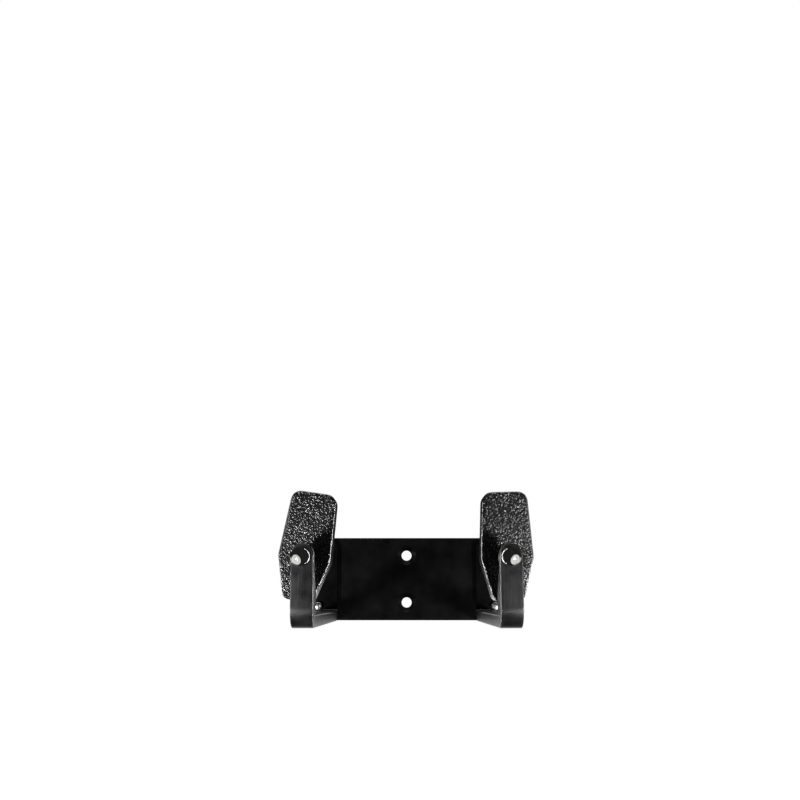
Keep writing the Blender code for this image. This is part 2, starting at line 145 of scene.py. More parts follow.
class Nodes:
    """A material and short ways to wire its nodes."""

    def __init__(self, name, colour, metallic, roughness, **sockets):
        self.material = bpy.data.materials.new(name)
        self.material.use_nodes = True
        self.tree = self.material.node_tree
        self.shader = self.tree.nodes["Principled BSDF"]
        self.shader.inputs["Base Color"].default_value = (*colour, 1)
        self.shader.inputs["Metallic"].default_value = metallic
        self.shader.inputs["Roughness"].default_value = roughness
        for socket, value in sockets.items():
            self.shader.inputs[socket.replace("_", " ")].default_value = value
        self.place = self.tree.nodes.new("ShaderNodeTexCoord").outputs["Object"]

    def add(self, kind, inputs=(), **settings):
        node = self.tree.nodes.new(kind)
        for setting, value in settings.items():
            setattr(node, setting, value)
        for socket, value in dict(inputs).items():
            if isinstance(value, bpy.types.NodeSocket):
                self.tree.links.new(value, node.inputs[socket])
            else:
                node.inputs[socket].default_value = value
        return node

    def stretched(self, scale):
        return self.add("ShaderNodeMapping", {"Vector": self.place, "Scale": scale}).outputs["Vector"]

    def noise(self, size, detail=3.0, stretch=(1, 1, 1), rough=0.5):
        """Noise with features of about size metres, from 0 to 1."""
        place = self.stretched([1 / factor for factor in stretch])
        sockets = {"Vector": place, "Scale": 1 / size, "Detail": detail, "Roughness": rough}
        return self.add("ShaderNodeTexNoise", sockets).outputs["Fac"]

    def cells(self, size, feature="DISTANCE_TO_EDGE", place=None):
        """Cells of about size metres."""
        sockets = {"Vector": place or self.place, "Scale": 1 / size}
        return self.add("ShaderNodeTexVoronoi", sockets, feature=feature).outputs["Distance"]

    def ranged(self, value, low, high, to_low=0.0, to_high=1.0):
        sockets = {"Value": value, "From Min": low, "From Max": high, "To Min": to_low, "To Max": to_high}
        return self.add("ShaderNodeMapRange", sockets).outputs["Result"]

    def joined(self, first, second, operation="ADD"):
        node = self.add("ShaderNodeMath", operation=operation)
        for socket, value in zip(node.inputs, (first, second)):
            if isinstance(value, bpy.types.NodeSocket):
                self.tree.links.new(value, socket)
            else:
                socket.default_value = value
        return node.outputs["Value"]

    def mixed(self, factor, first, second):
        node = self.add("ShaderNodeMix", data_type="RGBA")
        self.tree.links.new(factor, node.inputs["Factor"])
        for socket, colour in ((node.inputs[6], first), (node.inputs[7], second)):
            if isinstance(colour, bpy.types.NodeSocket):
                self.tree.links.new(colour, socket)
            else:
                socket.default_value = (*colour, 1)
        return node.outputs[2]

    def bump(self, height, depth, strength=1.0, under=None):
        """A bump of depth metres."""
        sockets = {"Height": height, "Distance": depth, "Strength": strength}
        if under is not None:
            sockets["Normal"] = under
        return self.add("ShaderNodeBump", sockets).outputs["Normal"]

    def finish(self, colour=None, roughness=None, normal=None):
        for socket, value in (("Base Color", colour), ("Roughness", roughness), ("Normal", normal)):
            if value is not None:
                self.tree.links.new(value, self.shader.inputs[socket])
        return self.material


def satin_paint(name, dark, pale, rough_low, rough_high, peel=0.012 * MM):
    """Black paint on steel with orange peel, drawn streaks and faint rubbing."""
    nodes = Nodes(name, dark, 0.0, rough_low, Specular_IOR_Level=0.5)
    streaks = nodes.noise(0.30 * MM, 5.0, (1, 1, 34), 0.65)
    blotches = nodes.noise(6 * MM, 4.0)
    specks = nodes.ranged(nodes.noise(0.22 * MM, 3.0, rough=0.7), 0.60, 0.74)
    tone = nodes.joined(nodes.ranged(streaks, 0.3, 0.7), nodes.ranged(blotches, 0.3, 0.7), "MULTIPLY")
    tone = nodes.joined(tone, nodes.joined(specks, 0.5, "MULTIPLY"))
    roughness = nodes.ranged(nodes.joined(streaks, blotches), 0.7, 1.3, rough_low, rough_high)
    orange = nodes.noise(0.9 * MM, 2.0)
    normal = nodes.bump(orange, peel, 1.0, nodes.bump(streaks, 0.012 * MM))
    return nodes.finish(nodes.mixed(tone, dark, pale), roughness, normal)


def textured_coat(name, dark, pale):
    """Powder coat with a fine sandy texture."""
    nodes = Nodes(name, dark, 0.0, 0.35, Specular_IOR_Level=0.07)
    sand = nodes.cells(0.45 * MM, "F1")
    waves = nodes.noise(1.4 * MM, 3.0)
    dust = nodes.noise(9 * MM, 5.0, rough=0.65)
    roughness = nodes.ranged(dust, 0.3, 0.7, 0.28, 0.40)
    normal = nodes.bump(sand, 0.006 * MM, 0.6, nodes.bump(waves, 0.012 * MM))
    return nodes.finish(nodes.mixed(nodes.ranged(dust, 0.35, 0.75), dark, pale), roughness, normal)


def leatherette(name):
    """Black vinyl: creased between its pebbles, with painted shade darkening the creases, and smoother
    where it is pulled taut over an edge.
    """
    dark, pale = (0.0016, 0.0016, 0.0018), (0.012, 0.012, 0.013)
    nodes = Nodes(name, dark, 0.0, 0.26, Specular_IOR_Level=0.5, Coat_Weight=0.65, Coat_Roughness=0.16)
    taut = nodes.add("ShaderNodeAttribute", attribute_name="taut").outputs["Fac"]
    slack = nodes.ranged(taut, 0.0, 1.0, 1.0, 0.06)
    wobble = nodes.add("ShaderNodeTexNoise", {"Vector": nodes.place, "Scale": 900.0, "Detail": 2.0})
    sway = (CREASE_SWAY,) * 3
    shift = nodes.add("ShaderNodeVectorMath", {0: wobble.outputs["Color"], 1: sway}, operation="MULTIPLY")
    moved = nodes.add("ShaderNodeVectorMath", {0: nodes.place, 1: shift.outputs[0]}, operation="ADD")
    place = moved.outputs[0]
    pebbles = nodes.ranged(nodes.cells(PEBBLE_SIZE, "F1", place), 0.64, 0.0)
    creases = nodes.ranged(nodes.cells(PEBBLE_SIZE, place=place), 0.0, 0.16)
    fine = nodes.noise(0.40 * MM, 2.0, rough=0.6)
    worn = nodes.noise(5 * MM, 4.0)
    # tone: a random worn tone times painted shade, darker in the creases between the pebbles
    tone = nodes.joined(nodes.ranged(worn, 0.3, 0.7), creases, "MULTIPLY")
    loose_rough = nodes.ranged(nodes.joined(creases, worn), 0.4, 1.4, 0.46, 0.22)
    roughness = nodes.joined(loose_rough, nodes.ranged(taut, 0.0, 1.0, 1.0, 0.5), "MULTIPLY")
    height = nodes.joined(nodes.joined(pebbles, nodes.joined(fine, 0.35, "MULTIPLY")), slack, "MULTIPLY")
    normal = nodes.bump(height, 0.22 * MM, 1.0)
    nodes.tree.links.new(normal, nodes.shader.inputs["Coat Normal"])
    return nodes.finish(nodes.mixed(tone, dark, pale), roughness, normal)


def bright_metal(name, dull, clean, rough_low, rough_high, grain=0.0):
    """Plated steel with fine scratches, smudges and, for zinc, a crystal grain."""
    nodes = Nodes(name, clean, 1.0, rough_low)
    smudges = nodes.noise(2.2 * MM, 4.0)
    scratches = nodes.noise(0.09 * MM, 3.0, (1, 1, 18), 0.7)
    spangle = nodes.cells(0.5 * MM, "F1")
    worn = nodes.joined(smudges, nodes.joined(scratches, 0.4, "MULTIPLY"))
    roughness = nodes.ranged(worn, 0.45, 0.95, rough_low, rough_high)
    height = nodes.joined(nodes.joined(spangle, grain, "MULTIPLY"), scratches)
    normal = nodes.bump(height, 0.0025 * MM, 0.5)
    return nodes.finish(nodes.mixed(nodes.ranged(worn, 0.5, 0.9), clean, dull), roughness, normal)


def moulded_nylon(name):
    """Black nylon with faint flow marks."""
    nodes = Nodes(name, (0.012, 0.012, 0.013), 0.0, 0.42, Specular_IOR_Level=0.45)
    flow = nodes.noise(1.2 * MM, 3.0)
    roughness = nodes.ranged(flow, 0.3, 0.7, 0.34, 0.52)
    colour = nodes.mixed(nodes.ranged(flow, 0.3, 0.7), (0.009, 0.009, 0.010), (0.022, 0.022, 0.024))
    return nodes.finish(colour, roughness, nodes.bump(nodes.noise(0.3 * MM), 0.006 * MM))


def fibre_board(name):
    """Black pressed board with loose fibres and a rubbed surface."""
    nodes = Nodes(name, (0.014, 0.013, 0.013), 0.0, 0.62)
    fibres = nodes.noise(0.22 * MM, 5.0, (7, 1, 1), 0.7)
    crossed = nodes.noise(0.22 * MM, 5.0, (1, 1, 7), 0.7)
    both = nodes.joined(fibres, crossed)
    colour = nodes.mixed(nodes.ranged(both, 0.85, 1.3), (0.010, 0.0095, 0.009), (0.045, 0.042, 0.038))
    roughness = nodes.ranged(both, 0.8, 1.2, 0.5, 0.78)
    return nodes.finish(colour, roughness, nodes.bump(both, 0.03 * MM, 0.8))


def plywood(name):
    """Pale wood with its plies as bands through the thickness."""
    nodes = Nodes(name, (0.50, 0.34, 0.19), 0.0, 0.68)
    grain = nodes.noise(0.5 * MM, 6.0, (1, 1, 14), 0.6)
    bands = {"Vector": nodes.place, "Scale": 260.0, "Distortion": 0.6}
    plies = nodes.add("ShaderNodeTexWave", bands, bands_direction="Y").outputs["Fac"]
    tone = nodes.joined(nodes.ranged(grain, 0.3, 0.7), nodes.ranged(plies, 0.2, 0.8), "MULTIPLY")
    colour = nodes.mixed(tone, (0.33, 0.20, 0.10), (0.62, 0.45, 0.28))
    return nodes.finish(colour, None, nodes.bump(grain, 0.03 * MM))


def foam_rubber(name):
    """Dark grey foam with open bubbles, painted darker towards each bubble's middle as shade in its hollow.
    """
    nodes = Nodes(name, (0.09, 0.09, 0.095), 0.0, 0.95)
    bubbles = nodes.cells(0.35 * MM, "F1")
    # painted shade: the colour darkens into each bubble's hollow
    colour = nodes.mixed(nodes.ranged(bubbles, 0.0, 0.7), (0.03, 0.03, 0.032), (0.13, 0.13, 0.137))
    return nodes.finish(colour, None, nodes.bump(bubbles, 0.15 * MM))


MATERIALS = {
    "plate_coat": textured_coat("plate_coat", (0.0006, 0.0006, 0.0007), (0.0022, 0.0022, 0.0024)),
    "frame_coat": satin_paint("frame_coat", (0.005, 0.005, 0.0053), (0.034, 0.034, 0.036), 0.26, 0.42),
    "zinc_screw": bright_metal("zinc_screw", (0.50, 0.50, 0.52), (0.80, 0.81, 0.82), 0.20, 0.36, 1.5),
    "zinc_hardware": bright_metal("zinc_hardware", (0.45, 0.46, 0.48), (0.70, 0.71, 0.73), 0.24, 0.42, 1.5),
    "bolt_chrome": bright_metal("bolt_chrome", (0.62, 0.61, 0.58), (0.83, 0.82, 0.79), 0.03, 0.09),
    "spring_steel": bright_metal("spring_steel", (0.22, 0.22, 0.23), (0.42, 0.42, 0.43), 0.30, 0.45),
    "nylon": moulded_nylon("nylon"),
    "leatherette": leatherette("leatherette"),
    "foam": foam_rubber("foam"),
    "plywood": plywood("plywood"),
    "back_board": fibre_board("back_board"),
}


def dress_cad_nodes():
    """Give every CAD node the detailed material of its slot."""
    for node in frame["nodes"].values():
        for slot in node.material_slots:
            slot.material = MATERIALS[slot.material.name.split(".")[0]]


# Meshes -----------------------------------------------------------------

def finished(name, mesh, body, slot, replaced=()):
    """Link a mesh as a piece which rides on a body."""
    mesh.materials.clear()
    mesh.materials.append(MATERIALS[slot])
    piece = bpy.data.objects.new(name, mesh)
    bpy.context.scene.collection.objects.link(piece)
    mesh.shade_smooth()
    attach(piece, body)
    if replaced:
        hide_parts(*replaced)
    return piece


def skin(name, rings, looped=False):
    """A mesh through rings of points; the last ring meets the first, or both ends are capped."""
    count = len(rings[0])
    points = [point for ring in rings for point in ring]
    faces = []
    for row in range(len(rings) - (0 if looped else 1)):
        for step in range(count):
            ahead = (step + 1) % count
            below, above = row * count, (row + 1) % len(rings) * count
            faces.append((below + step, below + ahead, above + ahead, above + step))
    if not looped:
        last = (len(rings) - 1) * count
        faces.append(tuple(reversed(range(count))))
        faces.append(tuple(range(last, last + count)))
    mesh = bpy.data.meshes.new(name)
    mesh.from_pydata([tuple(point) for point in points], [], faces)
    work = bmesh.new()
    work.from_mesh(mesh)
    bmesh.ops.remove_doubles(work, verts=work.verts, dist=MERGE_DISTANCE)
    bmesh.ops.recalc_face_normals(work, faces=work.faces)
    work.to_mesh(mesh)
    work.free()
    return mesh


def lathe(name, profile, centre, steps=ROUND_STEPS, looped=False):
    """Turn (radius, y) points about a line along Y through centre; radii of 0 close the ends."""
    rings = []
    for radius, y in profile:
        radius = max(radius, 1e-6)
        rings.append([
            Vector((centre.x + radius * math.cos(turn), y, centre.z + radius * math.sin(turn)))
            for turn in (2 * math.pi * step / steps for step in range(steps))
        ])
    return skin(name, rings, looped=looped)


def eased(profile, radius, steps=4):
    """Round the corners of a (radius, y) profile, apart from its two ends."""
    points = [Vector(profile[0])]
    for before, corner, after in zip(profile, profile[1:], profile[2:]):
        corner = Vector(corner)
        back, ahead = Vector(before) - corner, Vector(after) - corner
        reach = min(radius, back.length * 0.45, ahead.length * 0.45)
        start, end = corner + back.normalized() * reach, corner + ahead.normalized() * reach
        for step in range(steps + 1):
            share = step / steps
            points.append(start.lerp(corner, share).lerp(corner.lerp(end, share), share))
    points.append(Vector(profile[-1]))
    return [tuple(point) for point in points]


def rounded_box(half_width, half_height, radius, steps=CORNER_STEPS):
    """Loop of a rectangle with rounded corners, as (across, up)."""
    radius = min(radius, half_width * 0.98, half_height * 0.98)
    loop = []
    for quarter, (sx, sy) in enumerate(((1, 1), (-1, 1), (-1, -1), (1, -1))):
        for step in range(steps + 1):
            turn = math.pi / 2 * (quarter + step / steps)
            loop.append((
                sx * (half_width - radius) + radius * math.cos(turn),
                sy * (half_height - radius) + radius * math.sin(turn),
            ))
    return loop


def tube(name, path, radii, sides=12):
    """A round tube along a path, with a radius at each point."""
    rings = []
    for index, point in enumerate(path):
        ahead = path[min(index + 1, len(path) - 1)] - path[max(index - 1, 0)]
        ahead.normalize()
        side = ahead.orthogonal() if index == 0 else (side - ahead * side.dot(ahead))
        side.normalize()
        other = ahead.cross(side)
        rings.append([
            point + (side * math.cos(turn) + other * math.sin(turn)) * radii[index]
            for turn in (2 * math.pi * step / sides for step in range(sides))
        ])
    return skin(name, rings)


# Arms -------------------------------------------------------------------

def arm_frames(side):
    """Stations along the bar as (centre, outward normal, half width), from the wall to the ear's tip."""
    low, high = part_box(f"{side}_arm")
    x = (low.x + high.x) / 2
    half = BAR_THICK / 2
    turn_radius = BEND_OUTER - half
    centre = Vector((x, low.y + BEND_OUTER, low.z + BEND_OUTER))
    frames = []
    for share in np.linspace(0, 1, 9):
        y = high.y + (centre.y - high.y) * share
        frames.append((Vector((x, y, low.z + half)), Vector((0, 0, -1)), BAR_WIDTH / 2))
    for step in range(1, BEND_STEPS + 1):
        turn = math.pi / 2 * step / BEND_STEPS
        out = Vector((0, -math.sin(turn), -math.cos(turn)))
        frames.append((centre + out * turn_radius, out, BAR_WIDTH / 2))
    out = Vector((0, -1, 0))
    shoulder = high.z - BAR_WIDTH / 2
    for share in np.linspace(0, 1, 9)[1:]:
        z = centre.z + (shoulder - centre.z) * share
        frames.append((Vector((x, low.y + half, z)), out, BAR_WIDTH / 2))
    for step in range(1, EAR_TIP_STEPS + 1):
        turn = math.pi / 2 * step / EAR_TIP_STEPS
        z = shoulder + math.sin(turn) * BAR_WIDTH / 2
        width = max(math.cos(turn), 0.02) * BAR_WIDTH / 2
        frames.append((Vector((x, low.y + half, z)), out, width))
    return frames


def make_arm(side):
    """A flat bar with eased edges, bent up into an ear with a rounded tip."""
    rings = []
    for centre, out, half_width in arm_frames(side):
        loop = rounded_box(half_width, BAR_THICK / 2, BAR_EDGE)
        rings.append([centre + Vector((across, 0, 0)) + out * up for across, up in loop])
    name = f"{side}_bent_arm"
    finished(name, skin(name, rings), "hanger", "frame_coat", [f"{side}_arm"])


# Pads -------------------------------------------------------------------

def outline_path(corners, count, inset=0.0):
    """Points at even spacing round an outline with rounded corners, inset all round."""
    path = []
    for index, (x, z, radius) in enumerate(corners):
        corner = Vector((x, z))
        back = (Vector(corners[index - 1][:2]) - corner).normalized()
        ahead = (Vector(corners[(index + 1) % len(corners)][:2]) - corner).normalized()
        half = back.angle(ahead) / 2
        centre = corner + (back + ahead).normalized() * radius / math.sin(half)
        start = corner + back * radius / math.tan(half) - centre
        turn = (math.pi - 2 * half) * (-1 if back.cross(ahead) > 0 else 1)
        keep = max(radius - inset, 0.3 * radius) / radius
        for step in range(OUTLINE_CORNER_STEPS + 1):
            path.append(centre + Matrix.Rotation(turn * step / OUTLINE_CORNER_STEPS, 2) @ start * keep)
    return even_spacing(path, count)


def even_spacing(path, count):
    """Resample a closed path to count points at even spacing."""
    closed = path + [path[0]]
    lengths = [0.0]
    for first, second in zip(closed, closed[1:]):
        lengths.append(lengths[-1] + (second - first).length)
    wanted = np.linspace(0, lengths[-1], count, endpoint=False)
    xs = np.interp(wanted, lengths, [point.x for point in closed])
    zs = np.interp(wanted, lengths, [point.y for point in closed])
    return [Vector((x, z)) for x, z in zip(xs, zs)]


def pad_rings(front, back):
    """Loops of the slack cover, from the bolt hole over the face and the side to the back's edge."""
    inset = PAD_START_INSET
    outer = outline_path(PAD_OUTLINE, PAD_POINTS, inset)
    hole = [point.normalized() * PAD_HOLE for point in outer]
    rings = []
    face_edge = outline_path(PAD_OUTLINE, PAD_POINTS, inset + PAD_ROLL)
    for row in range(PAD_FACE_ROWS + 1):
        share = (row / PAD_FACE_ROWS) ** 0.85
        rings.append([(a.lerp(b, share), front) for a, b in zip(hole, face_edge)])
    for step in range(1, PAD_ROLL_STEPS + 1):
        turn = math.pi / 2 * step / PAD_ROLL_STEPS
        loop = [a.lerp(b, math.sin(turn)) for a, b in zip(face_edge, outer)]
        rings.append([(point, front + PAD_ROLL * (1 - math.cos(turn))) for point in loop])
    for row in range(1, PAD_SIDE_ROWS + 1):
        y = front + PAD_ROLL + (back - 2 * PAD_ROLL - front) * row / PAD_SIDE_ROWS
        rings.append([(point, y) for point in outer])
    for step in range(1, PAD_BACK_ROLL_STEPS + 1):
        turn = math.pi / 2 * step / PAD_BACK_ROLL_STEPS
        loop = [b.lerp(a, 1 - math.cos(turn)) for a, b in zip(face_edge, outer)]
        rings.append([(point, back - PAD_ROLL * (1 - math.sin(turn))) for point in loop])
    for share in PAD_BACK_ROWS:
        rings.append([(b.lerp(a, share), back) for a, b in zip(hole, face_edge)])
    for share in PAD_BORE_ROWS:
        rings.append([(point, front + (back - front) * share) for point in hole])
    return [[Vector((point.x, y, point.y)) for point, y in ring] for ring in rings]


def evaluated_mesh(piece):
    """A new mesh of the piece with its modifiers applied."""
    return bpy.data.meshes.new_from_object(piece.evaluated_get(bpy.context.evaluated_depsgraph_get()))


def swell(mesh, pinned):
    """Blow the cover up a little by cloth pressure and return how far each point moved."""
    piece = bpy.data.objects.new("swelling", mesh.copy())
    bpy.context.scene.collection.objects.link(piece)
    group = piece.vertex_groups.new(name="pinned")
    group.add(pinned, 1.0, "REPLACE")
    cloth = piece.modifiers.new("Cloth", "CLOTH")
    cloth.settings.use_pressure = True
    cloth.settings.uniform_pressure_force = PAD_PRESSURE
    cloth.settings.effector_weights.gravity = 0
    cloth.settings.vertex_group_mass = "pinned"
    cloth.settings.tension_stiffness = 40
    cloth.settings.compression_stiffness = 40
    cloth.settings.bending_stiffness = 2
    scene = bpy.context.scene
    for step in range(1, SWELL_FRAMES + 1):
        scene.frame_set(step)
    moved = evaluated_mesh(piece)
    shifts = [after.co - before.co for after, before in zip(moved.vertices, mesh.vertices)]
    scene.frame_set(1)
    bpy.data.objects.remove(piece)
    bpy.data.meshes.remove(moved)
    return shifts


def pebbled(point):
    """Height of the embossed leather grain, from 0 to 1, at a point in metres."""
    place = point / GRAIN_PITCH
    place = place + 0.35 * noise.noise_vector(place * 0.8)
    near, second = noise.voronoi(place)[0][:2]
    return min((second - near) / 0.45, 1.0)


def emboss(mesh, sideways):
    """Push the grain up on the face and let it fade over the stretched edges."""
    normals = [vertex.normal.copy() for vertex in mesh.vertices]
    taut = mesh.attributes.new("taut", "FLOAT", "POINT")
    for vertex, normal in zip(mesh.vertices, normals):
        on_face = max(0.0, min(1.0, (-normal.y - 0.80) / 0.18))
        on_side = max(0.0, min(1.0, (0.35 - abs(normal.y)) / 0.35))
        loose = max(on_face, 0.45 * on_side)
        taut.data[vertex.index].value = 1 - loose
        vertex.co += normal * GRAIN_HEIGHT * (0.08 + 0.92 * loose) * (pebbled(vertex.co + sideways) - 0.6)


def make_pad(side):
    """A padded cushion: the cover swollen over its foam, made finer and embossed, at its lean."""
    joint = next(joint for joint in frame["joints"] if joint["child"] == f"{side}_pad")
    pivot = Vector(joint["pos_m"])
    low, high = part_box(f"{side}_pad_cover")
    rings = pad_rings(low.y + PAD_START_INSET, high.y - PAD_BACK_RECESS)
    name = f"{side}_pad_cushion"
    mesh = skin(name, rings, looped=True)
    fixed = []
    for vertex in mesh.vertices:
        at_hole = math.hypot(vertex.co.x, vertex.co.z) < PAD_HOLE_PINNED
        if at_hole or vertex.co.y > high.y - PAD_BACK_PINNED:
            fixed.append(vertex.index)
    shifts = swell(mesh, fixed)
    for vertex, shift in zip(mesh.vertices, shifts):
        if shift.length > PAD_SWELL:
            shift.length = PAD_SWELL
        vertex.co += shift
    piece = bpy.data.objects.new("pad_source", mesh)
    bpy.context.scene.collection.objects.link(piece)
    finer = piece.modifiers.new("Finer", "SUBSURF")
    finer.levels = 2
    finer.render_levels = 2
    bpy.context.view_layer.update()
    fine = evaluated_mesh(piece)
    bpy.data.objects.remove(piece)
    emboss(fine, Vector((SIDES[side] * 0.05, 0, 0)))
    lean = Matrix.Rotation(PAD_LEAN[side], 4, "Y")
    fine.transform(Matrix.Translation((pivot.x, 0, pivot.z)) @ lean)
    cushion = finished(name, fine, f"{side}_pad", "leatherette", [f"{side}_pad_cover", f"{side}_pad_foam"])


# Pivot bolts and screws -------------------------------------------------

def make_bolt(side):
    """The pivot bolt, with its domed head in front."""
    low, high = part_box(f"{side}_pivot_bolt")
    centre = (low + high) / 2
    radius = (high.x - low.x) / 2
    rim = low.y + HEAD_DEPTH
    bulge = (radius ** 2 + DOME_HEIGHT ** 2) / (2 * DOME_HEIGHT)
    half = math.asin(radius / bulge)
    dome = []
    for step in range(DOME_STEPS + 1):
        turn = half * step / DOME_STEPS
        dome.append((bulge * math.sin(turn), low.y + bulge - bulge * math.cos(turn)))
    edge = eased([dome[-1], (radius, rim), (SHANK_RADIUS, rim)], 0.25 * MM)[1:]
    shank = [(SHANK_RADIUS, high.y - 0.5 * MM), (SHANK_TIP_RADIUS, high.y), (0, high.y)]
    mesh = lathe(f"{side}_domed_bolt", dome + edge + shank, centre)
    finished(f"{side}_domed_bolt", mesh, "hanger", "bolt_chrome", [f"{side}_pivot_bolt"])


def make_thread(name, centre, radius, start, end, slot):
    """A screw thread's ridge between two Y planes."""
    turns = abs(end - start) / THREAD_PITCH
    steps = int(turns * THREAD_STEPS_A_TURN)
    path, radii = [], []
    for step in range(steps + 1):
        share = step / steps
        angle = 2 * math.pi * turns * share
        y = start + (end - start) * share
        path.append(Vector((centre.x + radius * math.cos(angle), y, centre.z + radius * math.sin(angle))))
        radii.append(THREAD_RIDGE * min(1, share * 8 + 0.15, (1 - share) * 8 + 0.15))
    finished(name, tube(name, path, radii, 6), "hanger", slot)


def make_screw_end(side, height):
    """The rounded, threaded end of a foot screw, over its plain solid."""
    low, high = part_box(f"{side}_{height}_foot_screw")
    centre = (low + high) / 2
    foot_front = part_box(f"{side}_foot_plate")[0].y
    core = SCREW_CORE_RADIUS
    start = foot_front + 0.8 * MM
    tip = []
    for step in range(SCREW_TIP_STEPS + 1):
        turn = SCREW_TIP_ANGLE * step / SCREW_TIP_STEPS
        rise = SCREW_TIP_RISE * (math.cos(turn) - 0.5) * 2
        tip.append((core * math.sin(turn) / math.sin(SCREW_TIP_ANGLE), low.y - rise))
    name = f"{side}_{height}_screw"
    mesh = lathe(f"{name}_end", [*tip, (core, start), (0, start)], centre, SCREW_ROUND_STEPS)
    finished(f"{name}_end", mesh, "hanger", "zinc_screw")
    make_thread(f"{name}_thread", centre, core, start, low.y + 0.35 * MM, "zinc_screw")


def ring_profile(inner, outer, near, far):
    """Closed (radius, y) profile of a washer with rounded edges."""
    ease = min(0.18 * MM, (far - near) * 0.3)
    loop = rounded_box((outer - inner) / 2, (far - near) / 2, ease, 3)
    return [((inner + outer) / 2 + across, (near + far) / 2 + up) for across, up in loop]


def make_ring(node, slot):
    """A washer or spacer round the bolt."""
    low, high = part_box(node)
    profile = ring_profile(BORE_RADIUS, (high.x - low.x) / 2, low.y, high.y)
    mesh = lathe(f"{node}_turned", profile, (low + high) / 2, looped=True)
    finished(f"{node}_turned", mesh, "hanger", slot, [node])


def make_wave_washer(side):
    """Spring washer bent in three waves."""
    low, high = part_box(f"{side}_wave_washer")
    centre, outer, half = (low + high) / 2, (high.x - low.x) / 2, SPRING_THICK / 2
    profile = ring_profile(BORE_RADIUS, outer, centre.y - half, centre.y + half)
    mesh = lathe(f"{side}_waved_spring", profile, centre, looped=True)
    for vertex in mesh.vertices:
        turn = math.atan2(vertex.co.z - centre.z, vertex.co.x - centre.x)
        vertex.co.y += SPRING_WAVE * math.cos(SPRING_WAVES * turn)
    finished(f"{side}_waved_spring", mesh, "hanger", "spring_steel", [f"{side}_wave_washer"])


def make_bushing(side):
    """The flanged bearing that the pad turns on."""
    low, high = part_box(f"{side}_bushing")
    flange = low.y + FLANGE_THICK
    corners = [
        (BORE_RADIUS, low.y + 0.5 * MM),
        (BORE_RADIUS, low.y),
        (FLANGE_RADIUS, low.y),
        (FLANGE_RADIUS, flange),
        (BUSH_RADIUS, flange),
        (BUSH_RADIUS, high.y),
        (BORE_RADIUS, high.y),
        (BORE_RADIUS, high.y - 0.5 * MM),
    ]
    mesh = lathe(f"{side}_flanged_bush", eased(corners, 0.15 * MM), (low + high) / 2, looped=True)
    finished(f"{side}_flanged_bush", mesh, f"{side}_pad", "nylon", [f"{side}_bushing"])


def make_nut(side):
    """Chamfered hexagon nut with a crimped collar over its locking insert."""
    low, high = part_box(f"{side}_lock_nut")
    centre, top = (low + high) / 2, high.y - 1.2 * MM
    stations = [
        (2.1 * MM, low.y + 0.3 * MM, False),
        (2.45 * MM, low.y, False),
        (3.45 * MM, low.y, False),
        (3.75 * MM, low.y + 0.18 * MM, True),
        (NUT_CORNER, low.y + 0.5 * MM, True),
        (NUT_CORNER, top - 0.5 * MM, True),
        (3.75 * MM, top - 0.12 * MM, True),
        (3.15 * MM, top, False),
        (3.0 * MM, top + 0.2 * MM, False),
        (2.95 * MM, high.y - 0.35 * MM, False),
        (2.7 * MM, high.y, False),
        (2.3 * MM, high.y - 0.05 * MM, False),
        (2.1 * MM, high.y - 0.4 * MM, False),
    ]
    rings = []
    for limit, y, hexagonal in stations:
        ring = []
        for step in range(NUT_STEPS):
            turn = 2 * math.pi * step / NUT_STEPS
            across = (turn + math.pi / 6) % (math.pi / 3) - math.pi / 6
            radius = min(limit, NUT_FLAT / math.cos(across)) if hexagonal else limit
            ring.append(Vector((centre.x + radius * math.cos(turn), y, centre.z + radius * math.sin(turn))))
        rings.append(ring)
    mesh = skin(f"{side}_locking_nut", rings, looped=True)
    finished(f"{side}_locking_nut", mesh, "hanger", "zinc_hardware", [f"{side}_lock_nut"])
    mesh.set_sharp_from_angle(angle=NUT_EDGE_ANGLE)


def weld_bead(name, path, radius):
    """A rippled weld along corner points."""
    points, radii, travelled = [], [], 0.0
    for first, second in zip(path, path[1:]):
        steps = max(2, int((second - first).length / (0.25 * MM)))
        for step in range(steps):
            point = first.lerp(second, step / steps)
            travelled += (second - first).length / steps
            ripple = 0.12 * abs(math.sin(travelled / WELD_RIPPLE * math.pi))
            ripple += 0.12 * noise.noise(point / (2.5 * MM))
            points.append(point)
            radii.append(radius * (0.88 + ripple))
    radii[0] = radii[-1] = radius * 0.3
    finished(name, tube(name, points, radii), "hanger", "frame_coat")


def make_welds(side):
    """Beads where the arm meets its foot plate and where the rib sits in the bend."""
    low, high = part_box(f"{side}_arm")
    foot_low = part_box(f"{side}_foot_plate")[0]
    y, top, bottom = foot_low.y - 0.1 * MM, low.z + BAR_THICK, foot_low.z + 1.2 * MM
    turns = [(low.x, bottom), (low.x, top), (high.x, top), (high.x, bottom)]
    weld_bead(f"{side}_foot_weld", [Vector((x, y, z)) for x, z in turns], FOOT_WELD_RADIUS)
    rib_low, rib_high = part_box(f"{side}_gusset")
    x = rib_low.x if SIDES[side] < 0 else rib_high.x
    bend = BEND_OUTER - BAR_THICK
    rib_path = [Vector((x, rib_low.y, rib_high.z - 0.6 * MM)), Vector((x, rib_low.y, rib_low.z + bend))]
    for step in range(1, WELD_BEND_STEPS):
        turn = math.pi / 2 * step / WELD_BEND_STEPS
        y, z = rib_low.y + bend * (1 - math.cos(turn)), rib_low.z + bend * (1 - math.sin(turn))
        rib_path.append(Vector((x, y, z)))
    rib_path += [Vector((x, rib_low.y + bend, rib_low.z)), Vector((x, rib_high.y - 0.6 * MM, rib_low.z))]
    weld_bead(f"{side}_rib_weld", rib_path, RIB_WELD_RADIUS)


